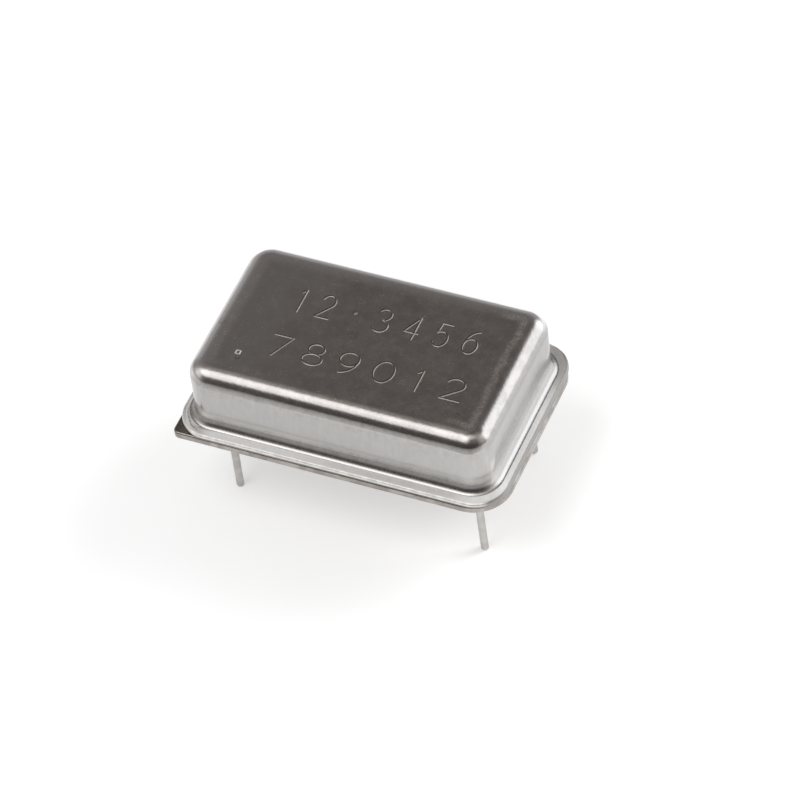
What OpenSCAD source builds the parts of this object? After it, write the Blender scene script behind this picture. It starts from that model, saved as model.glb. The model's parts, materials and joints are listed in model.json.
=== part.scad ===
// Packaged crystal oscillator: a drawn metal can on a four-pin header, with its
// circuit inside. X runs along the long side, Z points up, and the origin is the
// centre of the pin pattern on the underside of the header.

/* [Can] */
// Length of the can wall, outside
can_l = 18.4; // [18.2:0.1:26]
// Width of the can wall, outside
can_w = 10.9; // [10.6:0.05:16]
// Height from the underside of the header to the top of the can
can_h = 5.06; // [4.5:0.02:9]
// Corner radius of the can wall in plan, outside
can_corner_r = 1.45; // [1.2:0.05:2.4]
// Radius of the drawn edge round the top, outside
can_edge_r = 1.05; // [0.5:0.05:1.15]
// Thickness of the drawn sheet
sheet_t = 0.3; // [0.2:0.01:0.36]
// Radius of the bend between wall and flange, outside
foot_r = 0.42; // [0.2:0.02:0.46]
// Width of the can's flange at its short sides
can_flange_l = 0.7; // [0.7:0.01:1.2]
// Width of the can's flange at its long sides
can_flange_w = 0.85; // [0.7:0.01:1.2]
// Corner radius of the trimmed flange
can_flange_r = 1.95; // [1.5:0.05:2.2]
// Distance of the trim line from the edge of the can's flange
trim_inset = 0.14; // [0.1:0.01:0.16]
// Width of the trim line pressed into the flange
trim_w = 0.06; // [0.04:0.01:0.07]
// Depth of the trim line
trim_depth = 0.03; // [0.02:0.01:0.06]
// Side of the square index mark punched in the top
mark_side = 0.34; // [0.2:0.02:0.6]
// Depth of the index mark
mark_depth = 0.06; // [0.03:0.01:0.1]
// How far the can is welded off the header's centre, lengthwise
can_shift_x = -0.05; // [-0.1:0.01:0.1]
// How far the can is welded off the header's centre, widthwise
can_shift_y = -0.06; // [-0.1:0.01:0.1]

/* [Header] */
// Width of the header's rim at its short sides, from the can wall
header_rim_l = 0.8; // [0.75:0.01:1.4]
// Width of the header's rim at its long sides, from the can wall
header_rim_w = 0.86; // [0.75:0.01:1.4]
// Corner radius of the header
header_corner_r = 2.25; // [1.6:0.05:2.5]
// Radius of the corner that marks pin 1
index_corner_r = 0.4; // [0.1:0.05:0.6]
// Thickness of the rim
rim_t = 0.5; // [0.3:0.02:0.7]
// Height of the ridge on the rim that the can's flange is welded to
ridge_h = 0.04; // [0.02:0.01:0.08]
// Width of the ridge
ridge_w = 0.2; // [0.1:0.02:0.22]
// Height of the platform above the rim
platform_h = 0.6; // [0.3:0.05:0.8]
// Gap between the platform and the inside of the can
platform_gap = 0.2; // [0.15:0.05:0.35]

/* [Pins] */
// Distance between the pins along the long side
pin_span_l = 15.24; // [15.2:0.01:15.4]
// Distance between the pins along the short side
pin_span_w = 7.62; // [7.5:0.01:7.7]
// Diameter of the plated pins
pin_d = 0.46; // [0.4:0.01:0.56]
// Thickness of the plating below the header
plating_t = 0.01; // [0.005:0.005:0.02]
// Length of the pins below the header
pin_l = 6.1; // [3:0.05:13]
// Radius of the rounded pin ends
pin_end_r = 0.1; // [0.05:0.01:0.15]
// Height of the pins above the substrate
pin_stub = 0.5; // [0.35:0.05:0.8]
// Diameter of the glass seals
seal_d = 1.5; // [1.1:0.05:1.55]
// Diameter of the hole for the brazed ground pin
braze_d = 0.8; // [0.7:0.02:1]

/* [Substrate] */
// Length of the ceramic substrate
substrate_l = 16.8; // [16.6:0.1:17]
// Width of the ceramic substrate
substrate_w = 9.2; // [9.1:0.05:9.6]
// Thickness of the ceramic substrate
substrate_t = 0.64; // [0.38:0.02:0.8]
// Thickness of the adhesive film under the substrate
adhesive_t = 0.1; // [0.05:0.01:0.2]
// Diameter of the pin holes in the substrate
substrate_hole_d = 0.7; // [0.65:0.01:0.8]
// Diameter of the conductor pad round each pin
pin_pad_d = 1.3; // [1.1:0.05:1.4]
// Thickness of the fired films, drawn thicker than real ones
film_t = 0.02; // [0.01:0.01:0.04]
// Width of the conductor tracks
track_w = 0.25; // [0.15:0.01:0.3]
// Height of the solder fillets at the pins
pin_fillet_h = 0.35; // [0.2:0.05:0.45]
// Thickness of the solder under the clips and the capacitor
solder_t = 0.03; // [0.02:0.01:0.06]

/* [Crystal] */
// Diameter of the quartz disc
disc_d = 8; // [6:0.1:8.4]
// Thickness of the quartz disc
disc_t = 0.1; // [0.05:0.01:0.2]
// Place of the disc's centre along the substrate
disc_x = -2.4; // [-2.6:0.1:-2.2]
// Diameter of the electrodes
electrode_d = 4; // [3:0.1:5]
// Width of the electrode tabs
tab_w = 0.8; // [0.5:0.1:0.9]
// Bare rim between the end of each tab and the edge of the disc
tab_margin = 0.12; // [0.1:0.01:0.2]
// Height of the clips
clip_h = 1.1; // [0.9:0.05:1.3]
// Width of the clips
clip_w = 1.4; // [1.2:0.1:1.6]
// Length of each clip's foot
clip_foot = 0.95; // [0.6:0.05:1]
// Thickness of the clip strip
clip_t = 0.1; // [0.08:0.01:0.15]
// Outer radius of the clip's bends
clip_bend_r = 0.22; // [0.18:0.01:0.3]
// Length of the ledge, to the outer face of the riser
clip_ledge = 0.7; // [0.6:0.05:0.8]
// Overlap of disc and ledge
disc_overlap = 0.35; // [0.25:0.05:0.45]
// Thickness of the cement under the disc
cement_bed = 0.05; // [0.04:0.01:0.08]
// Diameter of the cement dots
cement_d = 1; // [0.8:0.05:1.1]
// Height of the cement dots above the disc
cement_cap = 0.14; // [0.08:0.02:0.2]

/* [Circuit] */
// Length of the silicon die
die_l = 1.6; // [1.4:0.1:1.8]
// Width of the silicon die
die_w = 1.3; // [1.2:0.1:1.5]
// Thickness of the silicon die
die_t = 0.3; // [0.2:0.05:0.4]
// Diameter of the bond wires
wire_d = 0.04; // [0.02:0.01:0.06]
// Length of the chip capacitor
capacitor_l = 2; // [1.8:0.1:2.1]
// Width of the chip capacitor
capacitor_w = 1.25; // [1:0.05:1.4]
// Height of the chip capacitor
capacitor_h = 0.85; // [0.6:0.05:1]
// Length of the capacitor's metal ends
capacitor_end = 0.4; // [0.3:0.05:0.5]
// Width of the fired resistor
resistor_w = 0.8; // [0.5:0.1:0.9]

/* [Hidden] */
$fn = 64;
tiny = 0.01;

corner_x = can_l / 2 - can_corner_r;
corner_y = can_w / 2 - can_corner_r;
flange_l = can_l + 2 * can_flange_l;
flange_w = can_w + 2 * can_flange_w;
flange_z = rim_t + ridge_h;

header_l = can_l + 2 * header_rim_l;
header_w = can_w + 2 * header_rim_w;
platform_inset = sheet_t + platform_gap;
platform_l = can_l - 2 * platform_inset;
platform_w = can_w - 2 * platform_inset;
platform_corner_r = can_corner_r - platform_inset;
header_t = rim_t + platform_h;

// Outer outline of the ridge, midway between the foot's bend and the flange's edge
ridge_out_l = can_l + foot_r + can_flange_l + ridge_w;
ridge_out_w = can_w + foot_r + can_flange_w + ridge_w;
ridge_out_r = (can_corner_r + foot_r + can_flange_r + ridge_w) / 2;

pin_x = pin_span_l / 2;
pin_y = pin_span_w / 2;
pin_r = pin_d / 2;
bare_d = pin_d - 2 * plating_t;
bare_r = bare_d / 2;

substrate_z = header_t + adhesive_t;
board_z = substrate_z + substrate_t;
film_z = board_z + film_t;
pin_top_z = board_z + pin_stub;

disc_r = disc_d / 2;
clip_z = film_z + solder_t;
disc_z = clip_z + clip_h + cement_bed;
clip_ledge_end = disc_r - disc_overlap;
clip_riser_x = clip_ledge_end + clip_ledge;
clip_pad_l = clip_foot + 0.2;
clip_pad_w = clip_w + 0.2;
clip_pad_x = clip_riser_x + clip_foot / 2;

ball_d = 2.4 * wire_d;
ball_h = 0.03;
bond_inset = 0.15;
bond_reach = 0.65;
bond_pad = 0.4;
pad_gap = 0.2;

die_x = disc_x + clip_pad_x + clip_pad_l / 2 + pad_gap + bond_pad / 2 + bond_reach + die_l / 2;
die_y = -0.2;
die_bed_t = 0.03;
die_z = board_z + die_bed_t;
die_top_z = die_z + die_t;

capacitor_x = 6.5;
capacitor_y = 2;
capacitor_z = film_z + solder_t;
capacitor_pad = 0.8;
capacitor_pad_y = capacitor_l / 2 - capacitor_end / 2 + 0.05;
cap_wall = 0.03;

resistor_x = disc_x + clip_pad_x;
crystal_track_y = 2.6;
resistor_lap = 0.2;

// Place of the index mark on the top, near pin 1
mark_x = -pin_x + 1;
mark_y = -pin_y + 0.8;

// Bond pads: side of the die (unit vector) and place along that side
bond_x1 = [-1, 0, 0.45];
bond_x2 = [-1, 0, -0.45];
bond_supply = [0, 1, -0.4];
bond_output = [0, 1, 0.4];
bond_enable = [0, -1, -0.4];
bond_ground = [0, -1, 0.4];
BONDS = [bond_x1, bond_x2, bond_supply, bond_output, bond_enable, bond_ground];

NICKEL = [0.74, 0.72, 0.70];
STEEL = [0.62, 0.59, 0.56];
GLASS = [0.25, 0.33, 0.35];
ALUMINA = [0.93, 0.91, 0.86];
SILVER = [0.80, 0.80, 0.78];
SOLDER = [0.66, 0.67, 0.68];
CEMENT = [0.70, 0.66, 0.58];

// ---------- shared outlines ----------

// Rectangle with four true arcs at its corners
module round_rect(l, w, r) {
    square([l - 2 * r, w], center = true);
    square([l, w - 2 * r], center = true);
    for (sx = [-1, 1], sy = [-1, 1])
        translate([sx * (l / 2 - r), sy * (w / 2 - r)]) circle(r);
}

// Ring of a bend: the quarter in +X +Y of an arc with outer radius r
module bend(r, t) {
    intersection() {
        difference() {
            circle(r);
            circle(r - t);
        }
        square(r);
    }
}

// Hollow fillet: a square corner piece with a quarter circle taken out of it
module fillet(r) {
    difference() {
        square(r);
        translate([r, r]) circle(r);
    }
}

// Places of the four pins
function pin_at(n) =
    n == 1 ? [-pin_x, -pin_y] :
    n == 7 ? [pin_x, -pin_y] :
    n == 8 ? [pin_x, pin_y] :
    [-pin_x, pin_y];

// ---------- can and header ----------

// Half section of the solid can above its flange: r runs outwards from a corner's axis
module can_outline() {
    square([can_corner_r, can_h - flange_z - can_edge_r]);
    square([can_corner_r - can_edge_r, can_h - flange_z]);
    translate([can_corner_r - can_edge_r, can_h - flange_z - can_edge_r]) circle(can_edge_r);
    square([can_corner_r + foot_r, sheet_t]);
    translate([can_corner_r, sheet_t]) fillet(foot_r);
}

// Half section of the space inside the can
module can_hollow() {
    wall_r = can_corner_r - sheet_t;
    edge_r = can_edge_r - sheet_t;
    inner_h = can_h - flange_z - sheet_t;
    translate([0, -tiny]) square([wall_r, inner_h - edge_r + tiny]);
    square([wall_r - edge_r, inner_h]);
    translate([wall_r - edge_r, inner_h - edge_r]) circle(edge_r);
    translate([wall_r, 0]) fillet(foot_r + sheet_t);
}

// Section of the drawn sheet, from the flat top to the end of the foot's bend
module can_section() {
    difference() {
        can_outline();
        can_hollow();
        translate([-can_edge_r, -tiny]) square([can_edge_r, can_h]);
    }
}

// One straight side of the can, with its section standing outwards along +X
module can_side(length) {
    rotate([90, 0, 0])
        linear_extrude(length, center = true) can_section();
}

// Flat flange round the foot of the can, trimmed to its own outline
module can_flange() {
    difference() {
        linear_extrude(sheet_t) round_rect(flange_l, flange_w, can_flange_r);
        translate([0, 0, -tiny])
            linear_extrude(sheet_t + 2 * tiny)
                round_rect(can_l + 2 * foot_r, can_w + 2 * foot_r, can_corner_r + foot_r);
        translate([0, 0, sheet_t - trim_depth]) trim_line();
    }
}

// Line that the trimming die presses along the edge of the flange
module trim_line() {
    linear_extrude(trim_depth + tiny)
    difference() {
        round_rect(flange_l - 2 * trim_inset, flange_w - 2 * trim_inset, can_flange_r - trim_inset);
        inner = trim_inset + trim_w;
        round_rect(flange_l - 2 * inner, flange_w - 2 * inner, can_flange_r - inner);
    }
}

module cover() {
    color(NICKEL)
    translate([can_shift_x, can_shift_y, 0])
    difference() {
        translate([0, 0, flange_z]) {
            for (turn = [0, 180]) rotate(turn) {
                translate([corner_x, 0]) can_side(2 * corner_y);
                translate([0, corner_y]) rotate(90) can_side(2 * corner_x);
                translate([corner_x, corner_y]) rotate_extrude(angle = 90) can_section();
                translate([-corner_x, corner_y]) rotate(90) rotate_extrude(angle = 90) can_section();
            }
            translate([-corner_x, -corner_y, can_h - flange_z - sheet_t])
                cube([2 * corner_x, 2 * corner_y, sheet_t]);
            can_flange();
        }
        translate([mark_x - mark_side / 2, mark_y - mark_side / 2, can_h - mark_depth])
            cube([mark_side, mark_side, mark_depth + tiny]);
    }
}

// Ridge that melts into the can's flange when the two are welded
module weld_ridge() {
    translate([can_shift_x, can_shift_y, rim_t])
    linear_extrude(ridge_h)
    difference() {
        round_rect(ridge_out_l, ridge_out_w, ridge_out_r);
        round_rect(ridge_out_l - 2 * ridge_w, ridge_out_w - 2 * ridge_w, ridge_out_r - ridge_w);
    }
}

module header() {
    color(STEEL)
    difference() {
        union() {
            linear_extrude(rim_t) {
                round_rect(header_l, header_w, header_corner_r);
                translate([header_corner_r - header_l / 2, header_corner_r - header_w / 2])
                    round_rect(2 * header_corner_r, 2 * header_corner_r, index_corner_r);
            }
            linear_extrude(header_t) round_rect(platform_l, platform_w, platform_corner_r);
            weld_ridge();
        }
        for (n = [1, 8, 14])
            translate(concat(pin_at(n), -tiny)) cylinder(d = seal_d, h = header_t + 2 * tiny);
        translate(concat(pin_at(7), -tiny)) cylinder(d = braze_d, h = header_t + 2 * tiny);
    }
}

// Round lead wire with rounded ends, plated where it stands out of the header
module pin(n) {
    bare_l = pin_top_z;
    color(NICKEL)
    translate(pin_at(n))
    rotate_extrude() {
        translate([0, -pin_l]) square([pin_r - pin_end_r, pin_l]);
        translate([0, pin_end_r - pin_l]) square([pin_r, pin_l - pin_end_r]);
        translate([pin_r - pin_end_r, pin_end_r - pin_l]) circle(pin_end_r);
        square([bare_r - pin_end_r, bare_l]);
        square([bare_r, bare_l - pin_end_r]);
        translate([bare_r - pin_end_r, bare_l - pin_end_r]) circle(pin_end_r);
    }
}

// Glass between a pin and the edge of its hole, as thick as the header
module glass_seal(n) {
    color(GLASS)
    translate(pin_at(n))
    difference() {
        cylinder(d = seal_d, h = header_t);
        translate([0, 0, -tiny]) cylinder(d = bare_d, h = header_t + 2 * tiny);
    }
}

// Braze that fills the ground pin's hole
module ground_braze() {
    color(SOLDER)
    translate(pin_at(7))
    difference() {
        cylinder(d = braze_d, h = header_t);
        translate([0, 0, -tiny]) cylinder(d = bare_d, h = header_t + 2 * tiny);
    }
}

// ---------- substrate ----------

module substrate_adhesive() {
    color(CEMENT)
    translate([0, 0, header_t])
        linear_extrude(adhesive_t)
            round_rect(pin_span_l - seal_d - 2, pin_span_w - seal_d, 1);
}

module substrate() {
    color(ALUMINA)
    difference() {
        translate([-substrate_l / 2, -substrate_w / 2, substrate_z])
            cube([substrate_l, substrate_w, substrate_t]);
        for (n = [1, 7, 8, 14])
            translate(concat(pin_at(n), substrate_z - tiny))
                cylinder(d = substrate_hole_d, h = substrate_t + 2 * tiny);
    }
}

// Straight stretch of track between two points that share an x or a y
module track_leg(a, b) {
    translate([min(a.x, b.x) - track_w / 2, min(a.y, b.y) - track_w / 2])
        square([abs(a.x - b.x) + track_w, abs(a.y - b.y) + track_w]);
}

module track(route) {
    for (i = [1 : len(route) - 1]) track_leg(route[i - 1], route[i]);
}

// Place of a bond pad beside the die, reach beyond the die's edge
function bond_at(bond, reach) =
    [die_x + bond.x * (die_l / 2 + reach) + (bond.x == 0 ? bond[2] : 0),
     die_y + bond.y * (die_w / 2 + reach) + (bond.y == 0 ? bond[2] : 0)];

function clip_at(side) = [disc_x + side * clip_pad_x, 0];
function capacitor_pad_at(side) = [capacitor_x, capacitor_y + side * capacitor_pad_y];

module track_routes() {
    supply = pin_at(14);
    enable = pin_at(1);
    output = pin_at(8);
    ground = pin_at(7);
    supply_bond = bond_at(bond_supply, bond_reach);
    output_bond = bond_at(bond_output, bond_reach);
    enable_bond = bond_at(bond_enable, bond_reach);
    ground_bond = bond_at(bond_ground, bond_reach);
    x1_bond = bond_at(bond_x1, bond_reach);
    x2_bond = bond_at(bond_x2, bond_reach);
    supply_end = capacitor_pad_at(1);
    ground_end = capacitor_pad_at(-1);
    left_clip_pad = clip_at(-1);
    right_clip_pad = clip_at(1);
    track([supply, [supply_end.x, supply.y], supply_end]);
    track([[supply_bond.x, supply.y], supply_bond]);
    track([output_bond, [output_bond.x, capacitor_y], [output.x, capacitor_y], output]);
    track([enable, [enable_bond.x, enable.y], enable_bond]);
    track([ground, [ground_bond.x, ground.y], ground_bond]);
    track([ground, [ground.x, ground_end.y], ground_end]);
    track([left_clip_pad, [left_clip_pad.x, crystal_track_y],
           [x1_bond.x, crystal_track_y], x1_bond]);
    track([[right_clip_pad.x, x2_bond.y], x2_bond]);
}

// Square pads for the bond wires, the clips, the capacitor and the resistor
module pads() {
    for (bond = BONDS) translate(bond_at(bond, bond_reach)) square(bond_pad, center = true);
    for (side = [-1, 1]) {
        translate(clip_at(side)) square([clip_pad_l, clip_pad_w], center = true);
        translate(capacitor_pad_at(side)) square([capacitor_w + 0.1, capacitor_pad], center = true);
    }
    translate([resistor_x - resistor_w / 2 - 0.05, resistor_top_y()])
        square([resistor_w + 0.1, crystal_track_y - resistor_top_y()]);
    translate([resistor_x - resistor_w / 2 - 0.05, 0])
        square([resistor_w + 0.1, resistor_base_y()]);
    for (n = [1, 7, 8, 14]) translate(pin_at(n)) circle(d = pin_pad_d);
}

function resistor_base_y() = clip_pad_w / 2 + 0.3;
function resistor_top_y() = crystal_track_y - 0.5;

module conductor_tracks() {
    color(SILVER)
    translate([0, 0, board_z])
    linear_extrude(film_t)
    difference() {
        union() {
            track_routes();
            pads();
        }
        for (n = [1, 7, 8, 14]) translate(pin_at(n)) circle(d = substrate_hole_d);
    }
}

// Fired film that laps over the ends of its two pads
module feedback_resistor() {
    color([0.16, 0.16, 0.17])
    difference() {
        translate([resistor_x - resistor_w / 2, resistor_base_y() - resistor_lap, board_z])
            cube([resistor_w, resistor_top_y() - resistor_base_y() + 2 * resistor_lap, 2 * film_t]);
        conductor_tracks();
    }
}

// Solder that fills the hole round a pin and climbs it as a hollow fillet
module pin_solder(n) {
    root = 0.3;
    color(SOLDER)
    translate(pin_at(n))
    rotate_extrude()
    difference() {
        union() {
            translate([bare_r, board_z - root])
                square([(substrate_hole_d - bare_d) / 2, root + film_t]);
            translate([bare_r, film_z]) square(pin_fillet_h);
        }
        translate([bare_r + pin_fillet_h, film_z + pin_fillet_h]) circle(pin_fillet_h);
    }
}

// ---------- crystal and its clips ----------

module crystal_blank() {
    color([0.85, 0.90, 0.93])
    translate([disc_x, 0, disc_z]) cylinder(d = disc_d, h = disc_t);
}

// Film on one face of the disc, with a tab that runs out nearly to the rim at one side
module electrode(side, z) {
    translate([disc_x, 0, z])
    rotate(side > 0 ? 0 : 180)
    linear_extrude(film_t) {
        circle(d = electrode_d);
        translate([0, -tab_w / 2]) square([disc_r - tab_margin, tab_w]);
    }
}

module upper_electrode() {
    color(SILVER) electrode(1, disc_z + disc_t);
}

module lower_electrode() {
    color(SILVER) electrode(-1, disc_z - film_t);
}

// Section of a clip: foot outwards, riser, and a ledge inwards under the disc
module clip_section() {
    riser = clip_riser_x;
    translate([riser - clip_t, clip_bend_r]) square([clip_t, clip_h - 2 * clip_bend_r]);
    translate([riser - clip_t + clip_bend_r, 0]) square([clip_foot + clip_t - clip_bend_r, clip_t]);
    translate([clip_ledge_end, clip_h - clip_t]) square([riser - clip_bend_r - clip_ledge_end, clip_t]);
    translate([riser - clip_t + clip_bend_r, clip_bend_r]) rotate(180) bend(clip_bend_r, clip_t);
    translate([riser - clip_bend_r, clip_h - clip_bend_r]) bend(clip_bend_r, clip_t);
}

module clip(side) {
    color(NICKEL)
    translate([disc_x, 0, clip_z])
    rotate(side > 0 ? 0 : 180)
    rotate([90, 0, 0])
        linear_extrude(clip_w, center = true) clip_section();
}

module clip_solder(side) {
    margin = 0.05;
    color(SOLDER)
    translate([disc_x, 0, film_z])
    rotate(side > 0 ? 0 : 180)
    translate([clip_riser_x - clip_t - margin, -clip_w / 2 - margin])
        cube([clip_foot + clip_t + 2 * margin, clip_w + 2 * margin, solder_t]);
}

// Dot of cement that beds the disc on its ledge and caps the rim
module cement(side) {
    dot_h = cement_bed + disc_t + film_t + cement_cap;
    dome_r = (pow(cement_d / 2, 2) + pow(cement_cap, 2)) / (2 * cement_cap);
    color(CEMENT)
    difference() {
        translate([disc_x + side * (disc_r - disc_overlap / 2), 0, disc_z - cement_bed])
        intersection() {
            cylinder(d = cement_d, h = dot_h);
            translate([0, 0, dot_h - dome_r]) sphere(dome_r);
        }
        crystal_blank();
        upper_electrode();
        lower_electrode();
    }
}

// ---------- die, wires, capacitor ----------

module die_attach() {
    color(CEMENT)
    translate([die_x - die_l / 2 - 0.05, die_y - die_w / 2 - 0.05, board_z])
        cube([die_l + 0.1, die_w + 0.1, die_bed_t]);
}

module oscillator_die() {
    color([0.30, 0.32, 0.38])
    translate([die_x - die_l / 2, die_y - die_w / 2, die_z])
        cube([die_l, die_w, die_t]);
}

// Wire that rises from a pad and arches over to a ball on the die
module bond_wire(bond) {
    pad = bond_at(bond, bond_reach);
    span = bond_reach + bond_inset;
    turn = atan2(-bond.y, -bond.x);
    arch_z = die_top_z + ball_h;
    translate(pad) rotate(turn) {
        translate([span / 2, 0, arch_z]) rotate([90, 0, 0])
            rotate_extrude(angle = 180) translate([span / 2, 0]) circle(d = wire_d, $fn = 24);
        translate([0, 0, film_z]) cylinder(d = wire_d, h = arch_z - film_z, $fn = 24);
        translate([0, 0, film_z]) cylinder(d = ball_d, h = ball_h, $fn = 24);
        translate([span, 0, die_top_z]) cylinder(d = ball_d, h = ball_h, $fn = 24);
    }
}

module bond_wires() {
    color("gold") for (bond = BONDS) bond_wire(bond);
}

module capacitor_block(inset) {
    translate([capacitor_x, capacitor_y, capacitor_z + inset])
        linear_extrude(capacitor_h - 2 * inset)
            square([capacitor_w - 2 * inset, capacitor_l - 2 * inset], center = true);
}

module capacitor_body() {
    color([0.62, 0.52, 0.40]) capacitor_block(cap_wall);
}

// Metal end that wraps the ceramic body like a shallow box
module capacitor_metal(side) {
    color(SILVER)
    difference() {
        intersection() {
            capacitor_block(0);
            translate([capacitor_x - capacitor_w,
                       capacitor_y + (side > 0 ? capacitor_l / 2 - capacitor_end : -capacitor_l / 2),
                       capacitor_z])
                cube([2 * capacitor_w, capacitor_end, capacitor_h]);
        }
        capacitor_block(cap_wall);
    }
}

// Solder under one metal end, with a hollow fillet up its face
module capacitor_solder(side) {
    climb = capacitor_pad - capacitor_end - 0.15;
    color(SOLDER)
    translate([capacitor_x, capacitor_y, film_z])
    rotate(side > 0 ? 180 : 0)
    rotate([90, 0, 90])
    linear_extrude(capacitor_w, center = true) {
        translate([-capacitor_l / 2 - climb, 0]) square([capacitor_end + climb, solder_t]);
        translate([-capacitor_l / 2, solder_t]) mirror([1, 0]) fillet(climb);
    }
}

cover();
header();
pin(1);  // pin_1
pin(7);  // pin_7
pin(8);  // pin_8
pin(14);  // pin_14
glass_seal(1);  // glass_seal_1
glass_seal(8);  // glass_seal_8
glass_seal(14);  // glass_seal_14
ground_braze();
substrate_adhesive();
substrate();
conductor_tracks();
pin_solder(1);  // pin_solder_1
pin_solder(7);  // pin_solder_7
pin_solder(8);  // pin_solder_8
pin_solder(14);  // pin_solder_14
clip(-1);  // left_clip
clip(1);  // right_clip
clip_solder(-1);  // left_clip_solder
clip_solder(1);  // right_clip_solder
crystal_blank();
upper_electrode();
lower_electrode();
cement(-1);  // left_cement
cement(1);  // right_cement
die_attach();
oscillator_die();
bond_wires();
capacitor_body();
capacitor_metal(1);  // capacitor_end_supply
capacitor_metal(-1);  // capacitor_end_ground
capacitor_solder(1);  // capacitor_solder_supply
capacitor_solder(-1);  // capacitor_solder_ground
feedback_resistor();
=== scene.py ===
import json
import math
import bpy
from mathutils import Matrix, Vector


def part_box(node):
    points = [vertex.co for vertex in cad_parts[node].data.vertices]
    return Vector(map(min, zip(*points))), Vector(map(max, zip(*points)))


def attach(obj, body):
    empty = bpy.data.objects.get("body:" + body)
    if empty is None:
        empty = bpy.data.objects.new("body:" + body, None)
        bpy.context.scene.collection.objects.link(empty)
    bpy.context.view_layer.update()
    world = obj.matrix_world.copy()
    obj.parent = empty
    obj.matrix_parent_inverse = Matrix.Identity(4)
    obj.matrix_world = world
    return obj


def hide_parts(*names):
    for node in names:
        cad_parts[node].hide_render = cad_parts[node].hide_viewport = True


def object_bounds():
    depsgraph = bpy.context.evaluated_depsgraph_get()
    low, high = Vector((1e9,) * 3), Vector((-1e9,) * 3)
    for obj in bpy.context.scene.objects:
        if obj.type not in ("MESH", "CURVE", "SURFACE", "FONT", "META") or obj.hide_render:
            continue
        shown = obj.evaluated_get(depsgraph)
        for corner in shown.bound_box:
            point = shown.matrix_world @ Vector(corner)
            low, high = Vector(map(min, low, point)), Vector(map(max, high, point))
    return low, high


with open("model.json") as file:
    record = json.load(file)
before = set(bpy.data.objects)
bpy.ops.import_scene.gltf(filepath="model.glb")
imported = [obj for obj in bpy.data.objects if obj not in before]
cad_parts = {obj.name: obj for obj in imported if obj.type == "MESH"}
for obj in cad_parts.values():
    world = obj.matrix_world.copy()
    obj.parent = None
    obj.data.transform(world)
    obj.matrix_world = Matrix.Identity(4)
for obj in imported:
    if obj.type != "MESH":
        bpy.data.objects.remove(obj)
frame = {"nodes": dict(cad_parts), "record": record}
cad_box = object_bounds()

# Crystal oscillator: drawn nickel-finished can, welded on a header with one square corner, on four lead wires.
# Shapes are worked out in millimetres, and each mesh is scaled to metres once, when its piece is finished.

from types import SimpleNamespace

import bpy
import numpy as np
from mathutils import Matrix

MM = 0.001
MICRON = 1e-6
QUARTER = math.pi / 2
nodes = frame["nodes"]


def box_mm(node):
    """Lowest and highest corner of a CAD node, in millimetres."""
    low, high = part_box(node)
    return np.array(low) / MM, np.array(high) / MM


# ---------- camera ----------

CAMERA_PLACE = (0.084973, -0.153988, 0.197400)
CAMERA_AZIMUTH = math.radians(28.468)
CAMERA_ELEVATION = math.radians(48.358)
CAMERA_ROLL = math.radians(-7.899)
LENS_MM = 208.85
SENSOR_MM = 36.0
NEAREST, FURTHEST = 0.01, 10.0


def facing_matrix(right, up, back, place):
    """Matrix of an object whose own X, Y and Z axes point right, up and back, at place."""
    matrix = np.eye(4)
    matrix[:3, 0], matrix[:3, 1], matrix[:3, 2], matrix[:3, 3] = right, up, back, place
    return Matrix(matrix.tolist())


def make_camera():
    """Camera from its azimuth, elevation and roll: back is the direction to the camera, and its right and up are the
    level right and the up square to it, turned by the roll."""
    az, el, roll = CAMERA_AZIMUTH, CAMERA_ELEVATION, CAMERA_ROLL
    back = np.array([math.sin(az) * math.cos(el), -math.cos(az) * math.cos(el), math.sin(el)])
    level = np.array([math.cos(az), math.sin(az), 0.0])
    up = np.cross(back, level)
    right = math.cos(roll) * level + math.sin(roll) * up
    top = -math.sin(roll) * level + math.cos(roll) * up
    data = bpy.data.cameras.new("camera")
    data.lens, data.sensor_width = LENS_MM, SENSOR_MM
    data.clip_start, data.clip_end = NEAREST, FURTHEST
    camera = bpy.data.objects.new("camera", data)
    bpy.context.scene.collection.objects.link(camera)
    camera.matrix_world = facing_matrix(right, top, back, CAMERA_PLACE)
    bpy.context.scene.camera = camera


make_camera()
bpy.context.scene.view_settings.view_transform = "Standard"

# ---------- mesh making ----------

ARC_STEPS = 24
SIDE_STEPS = 40
SHARP_DEG = 32
CORNER_SIGNS = [(1, 1), (-1, 1), (-1, -1), (1, -1)]


def rounded_outline(half_l, half_w, radii, centre=(0.0, 0.0)):
    """Closed rounded rectangle, anticlockwise: four arcs of ARC_STEPS steps, each followed by a side of SIDE_STEPS
    steps. radii are the corner radii at (+,+), (-,+), (-,-), (+,-). Every outline has the same number of points."""
    points = []
    arc = np.linspace(0, QUARTER, ARC_STEPS + 1)
    along = np.linspace(0, 1, SIDE_STEPS + 1)[1:-1, None]
    for k, (sx, sy) in enumerate(CORNER_SIGNS):
        radius = radii[k]
        turn = arc + k * QUARTER
        axis = np.array([sx * (half_l - radius), sy * (half_w - radius)])
        points.append(axis + radius * np.stack([np.cos(turn), np.sin(turn)], 1))
        next_x, next_y = CORNER_SIGNS[(k + 1) % 4]
        next_radius = radii[(k + 1) % 4]
        start, next_turn = points[-1][-1], (k + 1) * QUARTER
        end = np.array([next_x * (half_l - next_radius), next_y * (half_w - next_radius)])
        end = end + next_radius * np.array([math.cos(next_turn), math.sin(next_turn)])
        points.append(start * (1 - along) + end * along)
    return np.concatenate(points) + np.array(centre)


def at_height(flat, z):
    """Plan points lifted to height z."""
    return np.column_stack([flat, np.full(len(flat), z)])


def circle(centre, radius, count):
    """Plan points round a circle, anticlockwise."""
    turn = np.linspace(0, 2 * math.pi, count, endpoint=False)
    return centre + radius * np.column_stack([np.cos(turn), np.sin(turn)])


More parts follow.
